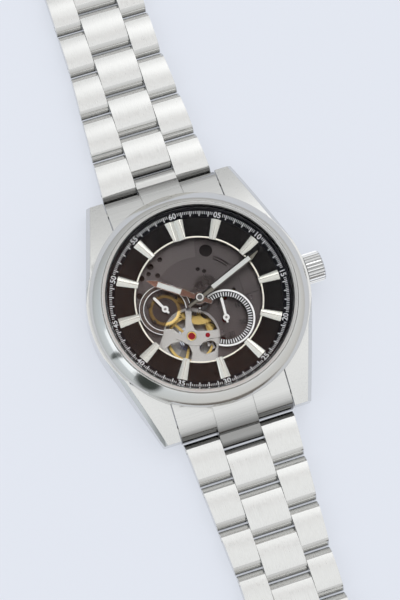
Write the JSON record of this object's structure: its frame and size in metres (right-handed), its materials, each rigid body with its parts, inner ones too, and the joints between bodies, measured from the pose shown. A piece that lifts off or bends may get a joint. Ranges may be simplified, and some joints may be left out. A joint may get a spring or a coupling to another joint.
{
  "type": "skeleton wristwatch",
  "caption": "Round steel skeleton wristwatch with an open dial, sub-dials for seconds and day hours, a fluted crown and a three-column bracelet with a fold-over clasp, lying open on its back.",
  "frame": {"origin": "centre of the case back's flat outer face, on the axis of the hands", "axes": "+X to the crown at three o'clock, +Y along the bracelet to twelve o'clock, +Z out through the crystal"},
  "size_m": [0.0449, 0.1893, 0.011],
  "materials": {
    "case_steel": "brushed, bevels polished",
    "polished_steel": "polished",
    "crystal_glass": "clear",
    "black_dial": "matt black",
    "pale_rim": "pale gold",
    "smoked": "smoked, see-through",
    "brown_track": "dark brown",
    "rhodium": "grained",
    "gilt": "gilt",
    "blued": "blued",
    "ruby": "polished ruby",
    "holder": "matt black",
    "seal": "matt"
  },
  "bodies": {
    "case": {"mid_case": "case_steel", "bezel": "polished_steel", "crystal": "crystal_glass", "chapter_ring": "black_dial", "dial": "black_dial", "aperture_rim": "pale_rim", "hour_indices": "polished_steel", "smoked_dial": "smoked", "seconds_track": "black_dial", "day_track": "brown_track", "main_plate": "rhodium", "front_balance_bridge": "rhodium", "train_bridge": "rhodium", "balance_cock": "rhodium", "movement_ring": "holder", "case_back": "case_steel", "case_back_crystal": "crystal_glass", "case_back_gasket": "seal", "crown_tube": "polished_steel", "end_link_upper": "case_steel", "end_link_lower": "case_steel", "lug_spring_bars": "polished_steel", "jewels": "ruby", "movement_screws": "polished_steel"},
    "minutes": {"center_wheel": "gilt", "cannon_pinion": "gilt", "minute_hand": "polished_steel"},
    "hours": {"hour_wheel": "gilt", "hour_hand": "polished_steel"},
    "minute_work": {"minute_wheel": "gilt"},
    "idler": {"day_idler": "gilt"},
    "day": {"day_wheel": "gilt", "day_hand": "polished_steel"},
    "third": {"third_wheel": "gilt"},
    "seconds": {"fourth_wheel": "gilt", "seconds_hand": "polished_steel"},
    "escape": {"escape_wheel": "rhodium"},
    "lever": {"pallet_fork": "rhodium"},
    "balance": {"balance_wheel": "gilt", "hairspring": "blued"},
    "barrel": {"mainspring_barrel": "gilt"},
    "winding_rotor": {"rotor": "rhodium"},
    "clutch": {"sliding_pinion": "polished_steel"},
    "crown_stem": {"winding_stem": "polished_steel", "crown": "polished_steel"},
    "upper_1": {"upper_link_1": "case_steel"},
    "upper_2": {"upper_link_2": "case_steel"},
    "upper_3": {"upper_link_3": "case_steel"},
    "upper_4": {"upper_link_4": "case_steel"},
    "upper_5": {"upper_link_5": "case_steel"},
    "upper_6": {"upper_link_6": "case_steel"},
    "upper_7": {"upper_link_7": "case_steel"},
    "lower_1": {"lower_link_1": "case_steel"},
    "lower_2": {"lower_link_2": "case_steel"},
    "lower_3": {"lower_link_3": "case_steel"},
    "lower_4": {"lower_link_4": "case_steel"},
    "lower_5": {"lower_link_5": "case_steel"},
    "cover": {"clasp_cover": "case_steel"},
    "middle_blade": {"clasp_middle_blade": "polished_steel"},
    "end_blade": {"clasp_end_blade": "polished_steel"}
  },
  "joints": [
    {"name": "seconds_turn", "type": "hinge", "parent": "case", "child": "seconds", "pos_m": [0.00361, -0.00479, 0.005], "axis": [0, 0, 1], "continuous": true},
    {"name": "minute_turn", "type": "hinge", "parent": "case", "child": "minutes", "pos_m": [0, 0, 0.005], "axis": [0, 0, 1], "continuous": true},
    {"name": "hour_turn", "type": "hinge", "parent": "case", "child": "hours", "pos_m": [0, 0, 0.005], "axis": [0, 0, 1], "continuous": true},
    {"name": "day_turn", "type": "hinge", "parent": "case", "child": "day", "pos_m": [-0.0066, 0, 0.005], "axis": [0, 0, 1], "continuous": true},
    {"name": "third_turn", "type": "hinge", "parent": "case", "child": "third", "pos_m": [0.00468, -0.00068, 0.005], "axis": [0, 0, 1], "continuous": true},
    {"name": "escape_turn", "type": "hinge", "parent": "case", "child": "escape", "pos_m": [0.00193, -0.00831, 0.005], "axis": [0, 0, 1], "continuous": true},
    {"name": "barrel_turn", "type": "hinge", "parent": "case", "child": "barrel", "pos_m": [-0.00264, 0.00566, 0.005], "axis": [0, 0, 1], "continuous": true},
    {"name": "minute_work_turn", "type": "hinge", "parent": "case", "child": "minute_work", "pos_m": [0.00212, 0.00212, 0.005], "axis": [0, 0, 1], "continuous": true},
    {"name": "idler_turn", "type": "hinge", "parent": "case", "child": "idler", "pos_m": [-0.00251, 0.0014, 0.005], "axis": [0, 0, 1], "continuous": true},
    {"name": "rotor_turn", "type": "hinge", "parent": "case", "child": "winding_rotor", "pos_m": [0, 0, 0.005], "axis": [0, 0, 1], "continuous": true},
    {"name": "lever_rock", "type": "hinge", "parent": "case", "child": "lever", "pos_m": [-0.00052, -0.00667, 0.005], "axis": [0, 0, 1], "range_deg": [-5, 5]},
    {"name": "balance_swing", "type": "hinge", "parent": "case", "child": "balance", "pos_m": [-0.0034, -0.00601, 0.005], "axis": [0, 0, 1], "range_deg": [-270, 270], "stiffness_Nm_per_rad": 0.00000034, "deforming": ["hairspring"]},
    {"name": "crown_turn", "type": "hinge", "parent": "case", "child": "clutch", "pos_m": [0.0095, 0, 0.00475], "axis": [1, 0, 0], "continuous": true},
    {"name": "crown_pull", "type": "slide", "parent": "clutch", "child": "crown_stem", "axis": [1, 0, 0], "range_m": [0, 0.001]},
    {"name": "upper_1_bend", "type": "hinge", "parent": "case", "child": "upper_1", "pos_m": [0, 0.0253, 0.0015], "axis": [-1, 0, 0], "range_deg": [-6, 24]},
    {"name": "upper_2_bend", "type": "hinge", "parent": "upper_1", "child": "upper_2", "pos_m": [0, 0.0339, 0.0015], "axis": [-1, 0, 0], "range_deg": [-6, 24]},
    {"name": "upper_3_bend", "type": "hinge", "parent": "upper_2", "child": "upper_3", "pos_m": [0, 0.0425, 0.0015], "axis": [-1, 0, 0], "range_deg": [-6, 24]},
    {"name": "upper_4_bend", "type": "hinge", "parent": "upper_3", "child": "upper_4", "pos_m": [0, 0.0511, 0.0015], "axis": [-1, 0, 0], "range_deg": [-6, 24]},
    {"name": "upper_5_bend", "type": "hinge", "parent": "upper_4", "child": "upper_5", "pos_m": [0, 0.0597, 0.0015], "axis": [-1, 0, 0], "range_deg": [-6, 24]},
    {"name": "upper_6_bend", "type": "hinge", "parent": "upper_5", "child": "upper_6", "pos_m": [0, 0.0683, 0.0015], "axis": [-1, 0, 0], "range_deg": [-6, 24]},
    {"name": "upper_7_bend", "type": "hinge", "parent": "upper_6", "child": "upper_7", "pos_m": [0, 0.0769, 0.0015], "axis": [-1, 0, 0], "range_deg": [-6, 24]},
    {"name": "lower_1_bend", "type": "hinge", "parent": "case", "child": "lower_1", "pos_m": [0, -0.0253, 0.0015], "axis": [1, 0, 0], "range_deg": [-6, 24]},
    {"name": "lower_2_bend", "type": "hinge", "parent": "lower_1", "child": "lower_2", "pos_m": [0, -0.0339, 0.0015], "axis": [1, 0, 0], "range_deg": [-6, 24]},
    {"name": "lower_3_bend", "type": "hinge", "parent": "lower_2", "child": "lower_3", "pos_m": [0, -0.0425, 0.0015], "axis": [1, 0, 0], "range_deg": [-6, 24]},
    {"name": "lower_4_bend", "type": "hinge", "parent": "lower_3", "child": "lower_4", "pos_m": [0, -0.0511, 0.0015], "axis": [1, 0, 0], "range_deg": [-6, 24]},
    {"name": "lower_5_bend", "type": "hinge", "parent": "lower_4", "child": "lower_5", "pos_m": [0, -0.0597, 0.0015], "axis": [1, 0, 0], "range_deg": [-6, 24]},
    {"name": "cover_bend", "type": "hinge", "parent": "lower_5", "child": "cover", "pos_m": [0, -0.0683, 0.0015], "axis": [1, 0, 0], "range_deg": [-6, 24]},
    {"name": "clasp_unfold", "type": "hinge", "parent": "cover", "child": "middle_blade", "pos_m": [0, -0.1009, 0.00385], "axis": [1, 0, 0], "range_deg": [-165, 0]},
    {"name": "blade_unfold", "type": "hinge", "parent": "middle_blade", "child": "end_blade", "pos_m": [0, -0.0768, 0.0023], "axis": [-1, 0, 0], "range_deg": [-120, 0]}
  ],
  "couplings": [
    {"joint": "third_turn", "follows": "seconds_turn", "ratio": -0.13333},
    {"joint": "minute_turn", "follows": "seconds_turn", "ratio": 0.016667},
    {"joint": "barrel_turn", "follows": "seconds_turn", "ratio": -0.002381},
    {"joint": "escape_turn", "follows": "seconds_turn", "ratio": -12},
    {"joint": "minute_work_turn", "follows": "seconds_turn", "ratio": -0.0055556},
    {"joint": "hour_turn", "follows": "seconds_turn", "ratio": 0.0013889},
    {"joint": "idler_turn", "follows": "seconds_turn", "ratio": -0.0013889},
    {"joint": "day_turn", "follows": "seconds_turn", "ratio": 0.00069444}
  ]
}
